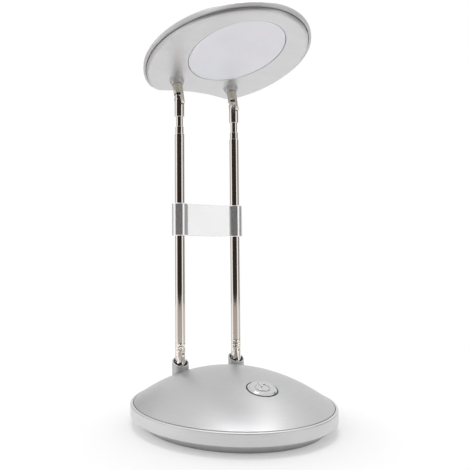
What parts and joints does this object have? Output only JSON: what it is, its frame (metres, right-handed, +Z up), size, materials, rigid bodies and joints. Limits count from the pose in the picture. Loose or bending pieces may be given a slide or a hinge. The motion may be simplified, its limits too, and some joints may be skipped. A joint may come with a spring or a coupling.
{
  "type": "portable desk lamp",
  "caption": "Portable desk lamp: oval domed base with a push button, telescopic rods with knuckle hinges, a sliding clip, and an oval lamp head that tilts.",
  "frame": {"origin": "on the ground under the middle of the oval base", "axes": "+Z up, -Y to the front, where the button and the lamp head are, and +X to the right when the lamp is seen from its front"},
  "size_m": [0.1074, 0.1314, 0.2147],
  "materials": {
    "silver_shell": "satin silver paint",
    "clip_plastic": "satin silver paint",
    "chrome": "polished plating",
    "diffuser": "milky, unlit",
    "rubber": "matt",
    "cell_wrap": "printed film over steel can",
    "spring_steel": "nickel plated",
    "steel": "zinc plated",
    "brass": "satin",
    "dark_plastic": "moulded",
    "board_green": "solder mask",
    "board_white": "white solder mask",
    "led": "phosphor"
  },
  "bodies": {
    "root": {"base_top_cover": "silver_shell", "base_bottom_cover": "silver_shell", "rubber_feet": "rubber", "battery_cells": "cell_wrap", "spring_contacts": "spring_steel", "flat_contacts": "spring_steel", "base_screws": "steel", "push_switch": "dark_plastic", "circuit_board": "board_green", "board_screws": "steel", "board_parts": "dark_plastic", "left_base_stud": "chrome", "right_base_stud": "chrome", "lower_hinge_pins": "chrome", "base_stud_nuts": "steel", "base_terminals": "brass"},
    "battery_door": {"battery_door": "silver_shell"},
    "power_button": {"power_button": "silver_shell", "switch_plunger": "dark_plastic"},
    "arm": {"left_tube_foot": "chrome", "right_tube_foot": "chrome", "left_outer_tube": "chrome", "right_outer_tube": "chrome"},
    "clip": {"rod_clip": "clip_plastic"},
    "left_middle": {"left_middle_tube": "chrome", "left_middle_bush": "brass"},
    "right_middle": {"right_middle_tube": "chrome", "right_middle_bush": "brass"},
    "left_inner": {"left_inner_rod": "chrome", "left_inner_bush": "brass", "left_rod_tip": "chrome"},
    "right_inner": {"right_inner_rod": "chrome", "right_inner_bush": "brass", "right_rod_tip": "chrome"},
    "head": {"left_head_stud": "chrome", "right_head_stud": "chrome", "upper_hinge_pins": "chrome", "head_stud_nuts": "steel", "head_terminals": "brass", "head_bottom_plate": "silver_shell", "head_top_cover": "silver_shell", "diffuser": "diffuser", "reflector_frame": "board_white", "led_board": "board_white", "leds": "led", "led_board_screws": "steel"}
  },
  "joints": [
    {"name": "arm_tilt", "type": "hinge", "parent": "root", "child": "arm", "pos_m": [0, 0.03, 0.0318], "axis": [1, 0, 0], "range_deg": [-30, 90]},
    {"name": "clip_slide", "type": "slide", "parent": "arm", "child": "clip", "axis": [0, 0, 1], "range_m": [-0.02, 0.036]},
    {"name": "left_middle_slide", "type": "slide", "parent": "arm", "child": "left_middle", "axis": [0, 0, 1], "range_m": [-0.0034, 0.105]},
    {"name": "left_inner_slide", "type": "slide", "parent": "left_middle", "child": "left_inner", "axis": [0, 0, 1], "range_m": [-0.0055, 0.1]},
    {"name": "right_middle_slide", "type": "slide", "parent": "arm", "child": "right_middle", "axis": [0, 0, 1], "range_m": [-0.0034, 0.105]},
    {"name": "right_inner_slide", "type": "slide", "parent": "right_middle", "child": "right_inner", "axis": [0, 0, 1], "range_m": [-0.0055, 0.1]},
    {"name": "head_tilt", "type": "hinge", "parent": "left_inner", "child": "head", "pos_m": [0, 0.03, 0.1859], "axis": [1, 0, 0], "range_deg": [-70, 96]},
    {"name": "button_press", "type": "slide", "parent": "root", "child": "power_button", "axis": [0, 0.2905, -0.9569], "range_m": [0, 0.0012], "stiffness_N_per_m": 1500, "springref_m": -0.001},
    {"name": "battery_door_slide", "type": "slide", "parent": "root", "child": "battery_door", "axis": [0, 1, 0], "range_m": [0, 0.008]}
  ],
  "couplings": [
    {"joint": "right_middle_slide", "follows": "left_middle_slide", "ratio": 1},
    {"joint": "right_inner_slide", "follows": "left_inner_slide", "ratio": 1}
  ]
}
